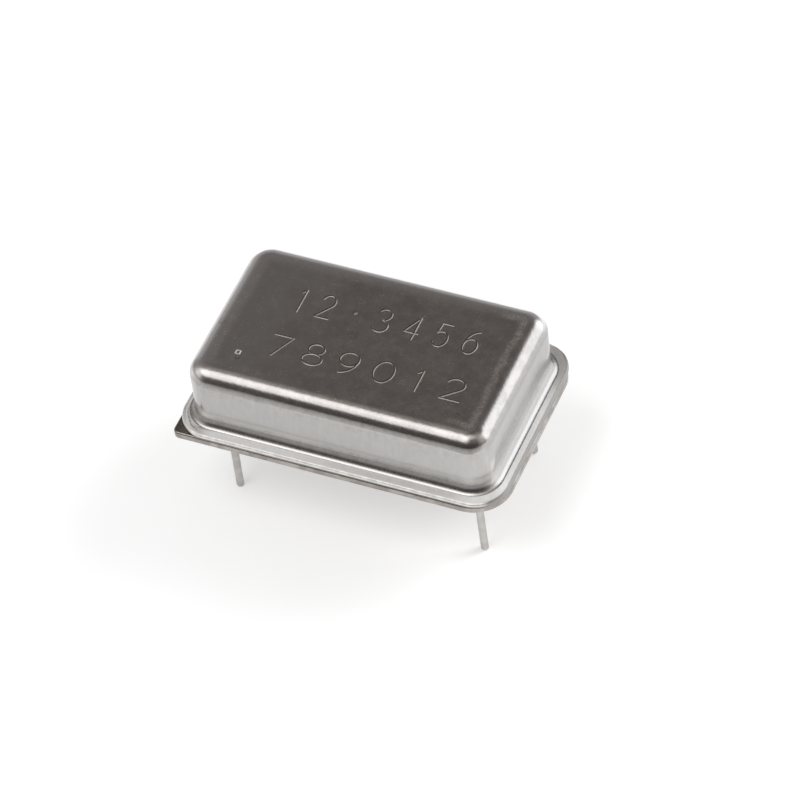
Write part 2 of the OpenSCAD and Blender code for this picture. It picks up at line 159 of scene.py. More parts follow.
def grid_quads(rows, columns, round_about=False):
    """Faces of a grid: point j of row i joins point j + 1 and row i + 1. A grid that goes round joins its last column
    to its first."""
    i, j = np.meshgrid(np.arange(rows - 1), np.arange(columns if round_about else columns - 1), indexing="ij")
    k = (j + 1) % columns
    quads = [i * columns + j, (i + 1) * columns + j, (i + 1) * columns + k, i * columns + k]
    return np.stack(quads, -1).reshape(-1, 4).tolist()


def skin(rings, ends=True):
    """Points and faces of a tube through the rings, whose ends are closed by one flat face each."""
    rings = np.asarray(rings, float)
    n_ring, n_point = rings.shape[:2]
    faces = grid_quads(n_ring, n_point, True)
    if ends:
        faces.append(list(range(n_point)))
        faces.append(list(range((n_ring - 1) * n_point, n_ring * n_point))[::-1])
    return rings.reshape(-1, 3), faces


def fix_outward(piece):
    """Turns every face round if the mesh's signed volume, the sum of a . (b x c) over its triangles, is negative."""
    mesh = piece.data
    mesh.calc_loop_triangles()
    co = np.empty(len(mesh.vertices) * 3)
    mesh.vertices.foreach_get("co", co)
    corners = np.empty(len(mesh.loop_triangles) * 3, int)
    mesh.loop_triangles.foreach_get("vertices", corners)
    a, b, c = co.reshape(-1, 3)[corners.reshape(-1, 3)].transpose(1, 0, 2)
    if np.einsum("ij,ij->i", a, np.cross(b, c)).sum() < 0:
        mesh.flip_normals()


def add_mesh(name, points, faces):
    """A closed piece in millimetres, with its faces outwards."""
    mesh = bpy.data.meshes.new(name)
    mesh.from_pydata(np.asarray(points).tolist(), [], faces, shade_flat=False)
    mesh.validate()
    mesh.update()
    piece = bpy.data.objects.new(name, mesh)
    bpy.context.scene.collection.objects.link(piece)
    fix_outward(piece)
    return piece


def combine(piece, others, how="DIFFERENCE"):
    """Cuts each of the others out of the piece, or joins it on. All are in millimetres, so fine cuts stay exact."""
    for cutter in others:
        cut = piece.modifiers.new("cut", "BOOLEAN")
        cut.operation, cut.solver, cut.object = how, "MANIFOLD", cutter
        graph = bpy.context.evaluated_depsgraph_get()
        result = bpy.data.meshes.new_from_object(piece.evaluated_get(graph))
        piece.modifiers.clear()
        old, used = piece.data, cutter.data
        piece.data = result
        bpy.data.meshes.remove(old)
        bpy.data.objects.remove(cutter)
        bpy.data.meshes.remove(used)


def finish_piece(piece, material, node, flat=None):
    """To metres, with sharp edges where faces turn by more than SHARP_DEG, and its material; it hangs under body:root,
    and the CAD node it stands for is hidden. flat marks the faces that are shaded flat."""
    mesh = piece.data
    mesh.transform(Matrix.Scale(MM, 4))
    mesh.name = piece.name
    mesh.materials.clear()
    mesh.materials.append(material)
    mesh.set_sharp_from_angle(angle=math.radians(SHARP_DEG))
    mesh.polygons.foreach_set("use_smooth", np.ones(len(mesh.polygons), bool) if flat is None else ~flat)
    mesh.update()
    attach(piece, "root")
    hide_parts(node)


# ---------- sizes of the can ----------

SHEET = 0.30
FLANGE_T = 0.38
CORNER_R = 1.45
EDGE_R = 1.05
FOOT_R = 0.42
FOOT_START_R = 1.15
FOOT_TIGHTEN = 1.12
FLANGE_R = 1.95
FLANGE_SIDE_L = 0.70
FLANGE_SIDE_W = 0.85
TRIM_W = 0.05
TRIM_DEPTH = 0.050
LIP_R = 0.14
UNDER_LIP_R = 0.10
FLANGE_SHIFT = 0.065
FLANGE_SPREAD = 0.03

cover_low, cover_high = box_mm("cover")
can_centre = (cover_low[:2] + cover_high[:2]) / 2
flange_half = (cover_high[:2] - cover_low[:2]) / 2
wall_half = flange_half - np.array([FLANGE_SIDE_L, FLANGE_SIDE_W])
rim_centre = can_centre + np.array([FLANGE_SHIFT, 0.0])
rim_half = flange_half + np.array([FLANGE_SHIFT, FLANGE_SPREAD])
top_z, flange_bottom = cover_high[2], cover_low[2]
flange_top = flange_bottom + FLANGE_T

# ---------- words for materials ----------

# The levels between which nearly all of a noise lies.
MIDDLE = (0.3, 0.7)


def new_material(name):
    material = bpy.data.materials.new(name)
    material.use_nodes = True
    tree = material.node_tree
    return material, tree, tree.nodes["Principled BSDF"]


def rgb(r, g, b):
    return (r, g, b, 1.0)


class Graph:
    """Short words for the nodes of one material. Positions are the piece's Object coordinates, in metres, and the
    limits of a rise, fall or band are given in millimetres."""

    def __init__(self, tree):
        self.tree = tree
        self.object = self.node("ShaderNodeTexCoord").outputs["Object"]

    def node(self, kind, **values):
        made = self.tree.nodes.new(kind)
        for key, value in values.items():
            setattr(made, key, value)
        return made

    def feed(self, socket, value):
        if isinstance(value, bpy.types.NodeSocket):
            self.tree.links.new(value, socket)
        else:
            socket.default_value = value

    def math(self, how, a, b=0.0, clamp=False):
        m = self.node("ShaderNodeMath", operation=how, use_clamp=clamp)
        self.feed(m.inputs[0], a)
        self.feed(m.inputs[1], b)
        return m.outputs[0]

    def plus(self, a, b, clamp=False):
        return self.math("ADD", a, b, clamp)

    def minus(self, a, b, clamp=False):
        return self.math("SUBTRACT", a, b, clamp)

    def times(self, first, *others):
        for other in others:
            first = self.math("MULTIPLY", first, other)
        return first

    def most(self, a, b):
        return self.math("MAXIMUM", a, b)

    def length(self, a, b):
        """Square root of the sum of two squares."""
        return self.math("SQRT", self.plus(self.math("POWER", a, 2.0), self.math("POWER", b, 2.0)))

    def step(self, value, low, high, out_low=0.0, out_high=1.0):
        """Smooth ramp of value from low to high, onto out_low to out_high."""
        r = self.node("ShaderNodeMapRange", interpolation_type="SMOOTHSTEP")
        self.feed(r.inputs["Value"], value)
        for key, v in (("From Min", low), ("From Max", high), ("To Min", out_low), ("To Max", out_high)):
            r.inputs[key].default_value = v
        return r.outputs["Result"]

    def rise(self, length, low_mm, high_mm, out_low=0.0, out_high=1.0):
        """Smooth ramp of a length between two values in millimetres."""
        return self.step(length, low_mm * MM, high_mm * MM, out_low, out_high)

    def fall(self, length, low_mm, high_mm):
        """1 up to low_mm, and 0 from high_mm."""
        return self.rise(length, low_mm, high_mm, 1.0, 0.0)

    def band(self, length, starts, full, ends, gone):
        """1 between full and ends, and 0 outside starts and gone."""
        return self.times(self.rise(length, starts, full), self.fall(length, ends, gone))

    def blend(self, factor, a, b):
        m = self.node("ShaderNodeMix", data_type="RGBA")
        self.feed(m.inputs["Factor"], factor)
        self.feed(m.inputs["A"], a)
        self.feed(m.inputs["B"], b)
        return m.outputs["Result"]

    def axis(self, index):
        s = self.node("ShaderNodeSeparateXYZ")
        self.feed(s.inputs[0], self.object)
        return s.outputs[index]

    def placed(self, scale=(1, 1, 1), turn=(0, 0, 0), move=(0, 0, 0), way="POINT"):
        """Object coordinates times scale, then turned and moved; way TEXTURE undoes a move and a turn, then divides by
        scale."""
        m = self.node("ShaderNodeMapping", vector_type=way)
        self.feed(m.inputs["Vector"], self.object)
        m.inputs["Scale"].default_value, m.inputs["Rotation"].default_value = scale, turn
        m.inputs["Location"].default_value = move
        return m.outputs["Vector"]

    def noise(self, size_mm, detail=2.0, vector=None, rough=0.5):
        """Smooth noise from 0 to 1 whose features are about size_mm across."""
        n = self.node("ShaderNodeTexNoise")
        self.feed(n.inputs["Vector"], vector if vector is not None else self.object)
        n.inputs["Scale"].default_value = 1.0 / (size_mm * MM)
        n.inputs["Detail"].default_value, n.inputs["Roughness"].default_value = detail, rough
        return n.outputs["Fac"]

    def scratches(self, width_mm, length_mm, turn_deg, keep, seed):
        """Thin short lines along one direction: noise drawn out along it, kept only above a high level."""
        turn, move = (0, 0, math.radians(turn_deg)), (seed * 0.0071, seed * 0.0133, seed * 0.003)
        drawn = self.placed((length_mm / width_mm, 1.0, 1.0), turn, move, "TEXTURE")
        return self.step(self.noise(width_mm, 1.0, drawn), keep, keep + 0.05)

    def outline(self, centre, half, radius):
        """Distance in metres outside a rounded rectangle in plan, negative inside: length of what the offset from its
        corner axes has beyond nought, plus the inside part, minus the corner radius."""
        offset = []
        for k in (0, 1):
            away = self.math("ABSOLUTE", self.minus(self.axis(k), float(centre[k]) * MM))
            offset.append(self.minus(away, float(half[k] - radius) * MM))
        beyond = self.length(self.most(offset[0], 0.0), self.most(offset[1], 0.0))
        inside = self.math("MINIMUM", self.most(offset[0], offset[1]), 0.0)
        return self.minus(self.plus(beyond, inside), radius * MM)

    def bump(self, height, depth_um, under=None):
        """Height from 0 to 1, depth_um micrometres deep."""
        b = self.node("ShaderNodeBump")
        self.feed(b.inputs["Height"], height)
        b.inputs["Distance"].default_value = depth_um * MICRON
        b.inputs["Strength"].default_value = 1.0
        if under is not None:
            self.feed(b.inputs["Normal"], under)
        return b.outputs["Normal"]


# ---------- finish of the can ----------

# Tones of the nickel and of what lies on it, and of the painted shade, highlights and reflections on it.
PLATE_DARK, PLATE_PALE = rgb(0.462, 0.443, 0.430), rgb(0.575, 0.550, 0.532)
MOTTLE_TONE = rgb(0.62, 0.60, 0.585)
COOL_TONE = rgb(0.63, 0.625, 0.645)
# Painted reflection: a pale sheen on the early arc of the back and left edges.
FAR_EDGE_PAINTED_SHEEN = rgb(0.92, 0.91, 0.92)
# Painted shade: the walls get a darker nickel than the top.
WALL_SHADE_TONE = rgb(0.455, 0.445, 0.438)
DRAWN_STREAK = rgb(0.400, 0.385, 0.375)
# Painted reflection: a pale band low on every wall.
LOW_WALL_PAINTED_SHEEN = rgb(0.66, 0.645, 0.63)
# Painted shade along the foot of the long sides, with smudges a little above it.
FOOT_SHADE_AND_SMUDGE = rgb(0.27, 0.262, 0.258)
# Rubbed, rougher band at the foot of the right end, its pale tone partly painted reflection.
FOOT_RUB_AND_SHEEN = rgb(0.80, 0.79, 0.775)
# Painted reflection: the right end paler below about 2.5 mm.
END_WALL_PAINTED_SHEEN = rgb(0.74, 0.73, 0.73)
# Painted highlight on the bend of the foot at the front.
FOOT_TURN_HIGHLIGHT = rgb(0.72, 0.70, 0.68)
BROWN_SMUDGE = rgb(0.30, 0.27, 0.24)
RUBBED = rgb(0.82, 0.80, 0.78)
# Matte pressed flange; its tones are raised near white as painted light for the shade beside the wall.
PRESSED_DARK_PAINTED_LIGHT, PRESSED_PALE_PAINTED_LIGHT = rgb(0.90, 0.885, 0.87), rgb(0.96, 0.945, 0.93)
FLANGE_DULL = rgb(0.74, 0.72, 0.70)
LIP_DARK, LIP_PALE = rgb(0.80, 0.78, 0.76), rgb(0.98, 0.96, 0.93)
# Painted shade on the flange's side below the lip.
UNDER_LIP_SHADE = rgb(0.34, 0.33, 0.32)
# Painted shade: a near-black line in the gap under the lip towards the front right.
LIP_GAP_SHADE = rgb(0.08, 0.076, 0.072)
# Painted shade on the lip at the right end, dimming its reflection.
RIGHT_LIP_SHADE = rgb(0.36, 0.35, 0.345)
BURR_TONE, GROOVE_TONE = rgb(0.42, 0.39, 0.35), rgb(0.37, 0.34, 0.31)
STAIN_TONE = rgb(0.40, 0.32, 0.25)
STAIN_AT = (-8.5, -1.2)


def can_places(g):
    """Where the parts of the can lie, each from 0 to 1, by height and by distance outside the wall or the rim, and the
    three noises that several of its tones share."""
    p = SimpleNamespace(x=g.axis(0), y=g.axis(1), z=g.axis(2))
    p.from_wall = g.outline(can_centre, wall_half, CORNER_R)
    p.from_rim = g.outline(rim_centre, rim_half, FLANGE_R)
    p.top = g.rise(p.z, top_z - 0.10, top_z - 0.02)
    inner = g.fall(p.from_wall, -1.15, -1.10)
    p.burr = g.times(inner, g.rise(p.z, top_z + 0.0015, top_z + 0.006))
    p.groove = g.times(inner, g.fall(p.z, top_z - 0.020, top_z - 0.006))
    p.flange = g.rise(p.from_wall, 0.365, 0.395)
    p.lip = g.times(g.rise(p.from_rim, -0.14, -0.10), g.rise(p.z, 0.70, 0.76))
    p.wall = g.times(g.minus(1.0, p.flange), g.fall(p.z, 4.2, 4.6))
    p.long_side = g.rise(g.math("ABSOLUTE", p.y), 4.6, 5.3)
    p.right_end = g.rise(p.x, 9.0, 9.1)
    # Rubbed band at the right end's foot, which also carries a painted pale reflection.
    p.foot_rub = g.times(p.right_end, g.band(p.z, 1.08, 1.34, 1.30, 1.95))
    p.cloud, p.haze, p.mottle = g.noise(2.4, 3.0), g.noise(0.9, 4.0, rough=0.6), g.noise(0.16, 3.0)
    return p


def weld_pressed(g, p):
    """Where the weld electrode left the flange matte: all of it, less the lip and two worn stretches, the one at the
    front left in rings that follow the rim."""
    back_right = g.times(g.rise(p.x, 7.0, 8.8), g.rise(p.y, 1.0, 5.0, 0.0, 0.50))
    front_left = g.times(g.fall(p.x, -8.6, -7.4), g.rise(p.y, -5.6, -4.0, 0.40, 0.25))
    round_the_rim = g.node("ShaderNodeCombineXYZ")
    g.feed(round_the_rim.inputs["X"], g.times(p.from_rim, 4.0))
    g.feed(round_the_rim.inputs["Y"], g.times(p.x, 0.35))
    rings = g.noise(0.42, 3.0, round_the_rim.outputs["Vector"])
    worn = g.most(back_right, g.times(front_left, g.step(rings, 0.35, 0.62, 0.2, 1.6)))
    return g.minus(p.flange, g.most(g.times(p.lip, 0.4), worn), clamp=True)


def handling_marks(g, p):
    """Specks and short scratches on the top, long ones down the right end, a faint film, and a rubbed line inside the
    shoulder that wavers by 0.3 mm and is strongest at the right end."""
    specks = g.times(g.step(g.noise(0.11, 0.0), 0.775, 0.84), g.step(g.noise(0.9, 1.0), 0.50, 0.62))
    lines = g.most(g.scratches(0.05, 0.55, -14, 0.748, 1), g.scratches(0.05, 0.45, 38, 0.758, 2))
    marks = g.math("MULTIPLY", g.most(specks, lines), g.plus(p.top, 0.12), clamp=True)
    marks = g.most(marks, g.times(g.scratches(0.04, 3.0, 92, 0.725, 3), g.times(p.right_end, p.wall)))
    line_at = g.plus(p.from_wall, g.times(g.minus(g.noise(1.9, 3.0), 0.5), 0.6 * MM))
    shoulder = g.band(line_at, -1.66, -1.34, -1.22, -0.94)
    ends = g.most(g.rise(p.x, 5.8, 7.3), g.rise(p.x, -7.9, -6.8, 0.35, 0.0))
    shoulder = g.times(shoulder, g.plus(ends, 0.10), g.step(g.noise(0.24, 5.0, rough=0.75), 0.15, 0.80, 0.15, 1.0))
    film = g.step(g.noise(0.65, 5.0, g.placed(move=(0.011, 0.007, 0)), rough=0.68), 0.50, 0.72)
    film = g.times(film, p.top, 0.21)
    return g.plus(g.plus(g.times(marks, 0.5), film), g.times(shoulder, 0.78), clamp=True)


def plate_tone(g, p):
    """Hazy clouds and fine mottling, cooler towards the left, and painted reflection: paler on the early arc of the
    far edges.
    """
    base = g.blend(g.step(p.haze, *MIDDLE), PLATE_DARK, PLATE_PALE)
    base = g.blend(g.times(g.step(p.mottle, *MIDDLE), 0.28), base, MOTTLE_TONE)
    wandering_x = g.plus(p.x, g.times(g.minus(p.cloud, 0.5), 8 * MM))
    base = g.blend(g.times(g.fall(wandering_x, -7.5, -1.0), p.top, 0.8), base, COOL_TONE)
    # Painted reflection: the early arc of the back and left edges is made paler.
    far_edge_sheen = g.most(g.band(p.y, 3.55, 4.80, 4.90, 5.12), g.band(p.x, -8.90, -8.72, -8.65, -7.45))
    return g.blend(g.times(far_edge_sheen, g.rise(p.z, 4.2, 4.6), 0.85), base, FAR_EDGE_PAINTED_SHEEN)


def wall_tone(g, p, base):
    """The walls: painted shade makes them darker than the top; streaked down the draw; painted shade along the long
    sides' feet, with smudges above it; painted reflections pale low on the walls and on the right end, where the foot
    is also rubbed; a painted highlight on the foot's turn at the front; and smudged brown below the edge."""
    drawn = g.noise(0.20, 5.0, g.placed(scale=(1, 1, 0.22)), rough=0.62)
    smudge = g.noise(0.60, 4.0, g.placed(scale=(1, 1, 0.7), move=(0.003, 0.001, 0.002)), rough=0.62)
    smudge = g.step(smudge, 0.42, 0.72)
    foot_line, low_wall = g.band(p.z, 1.05, 1.2, 1.38, 1.62), g.band(p.z, 1.00, 1.2, 1.4, 2.2)
    # Painted shade: a dark band along the wall's foot, plus smudges a little above it.
    foot_shade_and_smudge = g.most(g.times(foot_line, g.step(smudge, 0.0, 1.0, 0.65, 0.9)), g.times(smudge, low_wall, 0.35))
    # Painted highlight on the bend of the foot, along the front.
    foot_turn_highlight = g.times(g.rise(p.from_wall, 0.19, 0.27), g.fall(p.y, -4.0, -3.0))
    brown = g.step(g.noise(0.34, 5.0, rough=0.72), 0.44, 0.74)
    for where, tone in (
        (g.times(p.wall, 0.75), WALL_SHADE_TONE),
        (g.times(g.step(drawn, 0.36, 0.66, 1.0, 0.0), p.wall, 0.30), DRAWN_STREAK),
        (g.times(g.band(p.z, 1.42, 1.56, 1.82, 2.02), p.wall, 0.6), LOW_WALL_PAINTED_SHEEN),
        (g.times(foot_shade_and_smudge, p.long_side), FOOT_SHADE_AND_SMUDGE),
        (p.foot_rub, FOOT_RUB_AND_SHEEN),
        (g.times(p.right_end, g.fall(p.z, 2.5, 3.1), p.wall, 0.42), END_WALL_PAINTED_SHEEN),
        (g.times(foot_turn_highlight, 0.8), FOOT_TURN_HIGHLIGHT),
        (g.times(brown, g.band(p.z, 3.3, 4.0, 4.3, 4.7), p.long_side, 0.55), BROWN_SMUDGE),
    ):
        base = g.blend(where, base, tone)
    return base


def flange_tone(g, p, base, pressed):
    """The matte flange, its tones raised near white as painted light for the shade beside the wall, duller at the front
    right, with a mottled bright lip, painted shade under the lip, a painted dark gap under it towards the front right,
    and painted shade on the lip at the right edge."""
    front_right = g.times(g.rise(p.x, -3.0, 2.0), g.fall(p.y, -5.3, -4.3), p.flange)
    # Painted shade below the lip.
    under_lip_shade = g.times(g.rise(p.from_rim, -0.13, -0.08), g.fall(p.z, 0.67, 0.76))
    # Painted shade in the gap under the lip.
    gap_shade = g.times(g.rise(p.from_rim, -0.12, -0.07), g.fall(p.z, 0.63, 0.69))
    gap_shade = g.times(gap_shade, g.times(g.rise(p.x, -3.5, 1.5), g.fall(p.y, -5.0, -4.0)), 0.9)
    for where, tone in (
        (pressed, g.blend(g.step(p.mottle, *MIDDLE), PRESSED_DARK_PAINTED_LIGHT, PRESSED_PALE_PAINTED_LIGHT)),
        (g.times(front_right, g.step(p.haze, *MIDDLE, 0.55, 0.95)), FLANGE_DULL),
        (p.lip, g.blend(g.step(g.noise(0.45, 4.0), 0.42, 0.62), LIP_DARK, LIP_PALE)),
        (under_lip_shade, UNDER_LIP_SHADE),
        (gap_shade, LIP_GAP_SHADE),
        # Painted shade on the lip at the right end.
        (g.times(g.rise(p.from_rim, -0.13, -0.09), g.rise(p.x, 8.9, 9.4)), RIGHT_LIP_SHADE),
    ):
        base = g.blend(where, base, tone)
    return base


def can_finish():
    """Satin nickel on drawn steel: a fine grain, hazy clouds, streaks down the walls, marks of handling, and a flange
    left matte by the weld electrode. The burrs beside the engraved lines are part matte, and a stain lies by the left
    end of the top. Painted shade, painted highlights and painted reflections on the walls, the foot, the flange and the
    far edges stand in for light there."""
    material, tree, shader = new_material("can_nickel")
    g = Graph(tree)
    p = can_places(g)
    pressed, rub = weld_pressed(g, p), handling_marks(g, p)
    base = g.blend(rub, wall_tone(g, p, plate_tone(g, p)), RUBBED)
    base = flange_tone(g, p, base, pressed)
    base = g.blend(g.times(p.burr, g.step(p.cloud, 0.35, 0.60, 0.35, 1.0)), base, BURR_TONE)
    base = g.blend(p.groove, base, GROOVE_TONE)
    from_stain = g.length(g.minus(p.x, STAIN_AT[0] * MM), g.minus(p.y, STAIN_AT[1] * MM))
    stain = g.times(g.rise(from_stain, 0.10, 0.34, 0.7, 0.0), g.step(p.mottle, 0.35, 0.6))
    g.feed(shader.inputs["Base Color"], g.blend(stain, base, STAIN_TONE))
    matte = g.most(g.times(pressed, 0.85), g.times(p.burr, 0.6))
    g.feed(shader.inputs["Metallic"], g.minus(1.0, matte))
    rough = g.plus(g.step(p.mottle, *MIDDLE, 0.135, 0.175), g.step(p.haze, 0.35, 0.75, 0.0, 0.035))
    rough = g.plus(rough, g.times(g.most(rub, p.foot_rub), 0.24))
    rough = g.plus(rough, g.times(p.wall, g.fall(p.z, 1.5, 2.3), 0.10))
    rough = g.plus(rough, g.times(g.most(pressed, p.burr), 0.27))
    g.feed(shader.inputs["Roughness"], rough)
    grain = g.times(g.noise(0.12, 2.0, rough=0.6), g.minus(1.0, g.times(p.wall, 0.65)))
    normal = g.bump(g.noise(0.19, 3.0), 3.2, g.bump(grain, 4.5))
    g.feed(shader.inputs["Normal"], g.bump(p.cloud, 4.5, normal))
    return material


# ---------- other finishes ----------

def steel(name, dark, pale, rough, grain_mm=0.12, drawn=None):
    """Plain metal: two tones in soft clouds, and a fine grain, drawn out along one axis where drawn is given."""
    material, tree, shader = new_material(name)
    g = Graph(tree)
    shader.inputs["Metallic"].default_value = 1.0
    grain = g.noise(grain_mm, 3.0, g.placed(scale=drawn) if drawn else None)
    g.feed(shader.inputs["Base Color"], g.blend(g.step(g.noise(0.8, 3.0), 0.35, 0.65), rgb(*dark), rgb(*pale)))
    g.feed(shader.inputs["Roughness"], g.step(grain, *MIDDLE, rough - 0.05, rough + 0.06))
    g.feed(shader.inputs["Normal"], g.bump(grain, 1.2))
    return material


def solid(name, dark, pale, rough, grain_mm=0.15, depth_um=1.5, clear=0.0):
    """Plain non-metal: two tones in a fine grain, and clear from 0 to 1 for quartz."""
    material, tree, shader = new_material(name)
    g = Graph(tree)
    grain = g.noise(grain_mm, 3.0)
    g.feed(shader.inputs["Base Color"], g.blend(g.step(grain, 0.35, 0.65), rgb(*dark), rgb(*pale)))
    g.feed(shader.inputs["Roughness"], g.step(grain, *MIDDLE, max(rough - 0.04, 0.02), rough + 0.05))
    g.feed(shader.inputs["Normal"], g.bump(grain, depth_um))
    shader.inputs["Transmission Weight"].default_value = clear
    return material


# Dark tone, pale tone and roughness, then the grain's size in mm where it isn't 0.12, and the scale that draws it out.
METALS = {
    "header_steel": ((0.30, 0.268, 0.245), (0.43, 0.398, 0.375), 0.25, 0.10, (1, 1, 0.2)),
    "pin_metal": ((0.455, 0.446, 0.425), (0.545, 0.536, 0.513), 0.34, 0.05, (1, 1, 0.08)),
    "braze": ((0.58, 0.57, 0.54), (0.68, 0.67, 0.64), 0.38),
    "solder": ((0.58, 0.59, 0.60), (0.70, 0.71, 0.72), 0.26),
    "silver_cement": ((0.62, 0.60, 0.57), (0.76, 0.74, 0.71), 0.60, 0.05),
    "conductor": ((0.66, 0.66, 0.63), (0.78, 0.78, 0.75), 0.42, 0.03),
    "electrode": ((0.78, 0.78, 0.78), (0.84, 0.84, 0.84), 0.14),
    "clip_metal": ((0.58, 0.57, 0.55), (0.68, 0.67, 0.65), 0.30, 0.08, (0.2, 1, 1)),
    "gold": ((0.86, 0.62, 0.20), (0.95, 0.72, 0.30), 0.18),
    "capacitor_metal": ((0.68, 0.68, 0.67), (0.80, 0.80, 0.79), 0.30),
}
# Dark tone, pale tone and roughness, then the grain's size in mm where it isn't 0.15, its depth in micrometres, and how
# clear it is.
NON_METALS = {
    "seal_glass": ((0.05, 0.09, 0.10), (0.08, 0.13, 0.14), 0.12, 0.2, 0.8),
    "adhesive": ((0.62, 0.57, 0.49), (0.72, 0.68, 0.60), 0.55),
    "alumina": ((0.88, 0.86, 0.81), (0.94, 0.92, 0.88), 0.62, 0.04, 1.0),
    "quartz": ((0.88, 0.92, 0.94), (0.94, 0.96, 0.97), 0.14, 0.05, 0.4, 0.85),
    "silicon": ((0.10, 0.11, 0.15), (0.17, 0.18, 0.24), 0.18, 0.05, 0.5),
    "capacitor_ceramic": ((0.50, 0.39, 0.27), (0.60, 0.49, 0.36), 0.45, 0.05),
    "resistor_film": ((0.03, 0.03, 0.035), (0.06, 0.06, 0.065), 0.50, 0.04),
}
finishes = {"can_nickel": can_finish()}
finishes.update({name: steel(name, *values) for name, values in METALS.items()})
finishes.update({name: solid(name, *values) for name, values in NON_METALS.items()})
for row in frame["record"]["subparts"]:
    held = nodes[row["node"]].data.materials
    held.clear()
    held.append(finishes[row["material_slot"]])

# ---------- shell of the can ----------

FOOT_SAMPLES = 400
FOOT_RINGS = 26
EDGE_STEPS = 26
WALL_RINGS = 10
INNER_STEPS = 12
TOP_MARGIN = 0.15
RIM_WAVES = 0.012
LIP_TURNS = [74, 62, 50, 38, 25, 12, 0]
UNDER_LIP_TURNS = [0, 25, 50, 72, 90]
LIP_STRIP = 0.01
# Rings across the flat of the flange and the score that the trimming tool left in it: how far in from the rim, how
# deep, how high the waves are, and how deep the score is at the right end. It starts SCORE_START inside the rim there
# and has its full depth after SCORE_RUN.
SCORE_FROM = LIP_R - 0.04
FLAT_RINGS = [
    (SCORE_FROM + TRIM_W + 0.12, 0.0, 0.004, 0.0),
    (SCORE_FROM + TRIM_W + 0.02, 0.0, 0.009, 0.0),
    (SCORE_FROM + TRIM_W, 0.001, 0.010, 0.0),
    (SCORE_FROM + TRIM_W / 2, 0.002, 0.011, TRIM_DEPTH),
]
SCORE_START, SCORE_RUN = 2.0, 1.4


def foot_profile():
    """The wall's foot flares slowly and then bends tighter: a spiral whose radius is FOOT_START_R times
    exp(-FOOT_TIGHTEN * turn). How far out and how far down it has gone, at each turn from 0 to a quarter."""
    turn = np.linspace(0, QUARTER, FOOT_SAMPLES)
    radius = FOOT_START_R * np.exp(-FOOT_TIGHTEN * turn)
    step = np.diff(turn)
    out = np.concatenate([[0], np.cumsum((radius * np.sin(turn))[:-1] * step)])
    down = np.concatenate([[0], np.cumsum((radius * np.cos(turn))[:-1] * step)])
    at = np.linspace(0, QUARTER, FOOT_RINGS)
    return np.interp(at, turn, out), np.interp(at, turn, down)


def can_ring(grow, z):
    """Outline of the can wall moved outwards by grow, at height z."""
    radii = [CORNER_R + grow] * 4
    return at_height(rounded_outline(wall_half[0] + grow, wall_half[1] + grow, radii, can_centre), z)


def flange_ring(inset, z, waves=RIM_WAVES, dip=0.0):
    """Outline of the trimmed flange moved inwards by inset, at height z, with long shallow waves along it: three sines.
    dip lowers it along the right end, where the trimming tool scored it."""
    flat = rounded_outline(rim_half[0] - inset, rim_half[1] - inset, [FLANGE_R - inset] * 4, rim_centre)
    turn = np.linspace(0, 2 * math.pi, len(flat), endpoint=False)
    lift = waves * (0.5 * np.sin(5 * turn + 0.7) + 0.3 * np.sin(11 * turn + 2.1) + 0.2 * np.sin(23 * turn))
    scored = np.clip((flat[:, 0] - rim_centre[0] - rim_half[0] + SCORE_START) / SCORE_RUN, 0, 1)
    return np.column_stack([flat, z + lift - dip * scored])


def section_arc(centre_grow, centre_z, radius, start_deg, end_deg, steps):
    """Rings along an arc of the can's section, whose centre lies at centre_grow and centre_z."""
    turn = np.radians(np.linspace(start_deg, end_deg, steps + 1))
    return [can_ring(centre_grow + radius * math.cos(t), centre_z + radius * math.sin(t)) for t in turn]


def rounded_edge(ring, radius, z, side, degrees):
    """Rings round an edge: each is inset by radius * (1 - cos) and lies radius * (1 - sin) above z where side is 1, or
    below it where side is -1."""
    return [ring(radius * (1 - math.cos(t)), z + side * radius * (1 - math.sin(t))) for t in np.radians(degrees)]


def make_can():
    """The drawn sheet as one closed skin: outer top, edge, wall, flared foot and flange, then back along the inside."""
    foot_out, foot_down = foot_profile()
    foot_z, edge_z = flange_top + foot_down[-1], top_z - EDGE_R
    inner_z = flange_bottom + SHEET + FOOT_R
    rings = [can_ring(-EDGE_R - TOP_MARGIN, top_z)]
    rings += section_arc(-EDGE_R, edge_z, EDGE_R, 90, 0, EDGE_STEPS)
    rings += [can_ring(0, z) for z in np.linspace(edge_z, foot_z, WALL_RINGS)[1:-1]]
    rings += [can_ring(out, foot_z - down) for out, down in zip(foot_out, foot_down)]
    rings += [flange_ring(inset, flange_top - depth, waves, dip) for inset, depth, waves, dip in FLAT_RINGS]
    rings += rounded_edge(flange_ring, LIP_R, flange_top, -1, LIP_TURNS)
    rings += [flange_ring(0, flange_top - LIP_R - LIP_STRIP)]
    rings += [flange_ring(0, flange_bottom + UNDER_LIP_R + LIP_STRIP)]
    rings += rounded_edge(flange_ring, UNDER_LIP_R, flange_bottom, 1, UNDER_LIP_TURNS)
    rings += [can_ring(FOOT_R, flange_bottom)]
    rings += section_arc(FOOT_R, inner_z, FOOT_R + SHEET, 270, 180, INNER_STEPS)[1:]
    rings += [can_ring(-SHEET, (inner_z + edge_z) / 2)]
    rings += section_arc(-EDGE_R, edge_z, EDGE_R - SHEET, 0, 90, INNER_STEPS)
    return add_mesh("can", *skin(rings))


LEVEL_NORMAL, SAME_HEIGHT = 0.99999, 1e-4


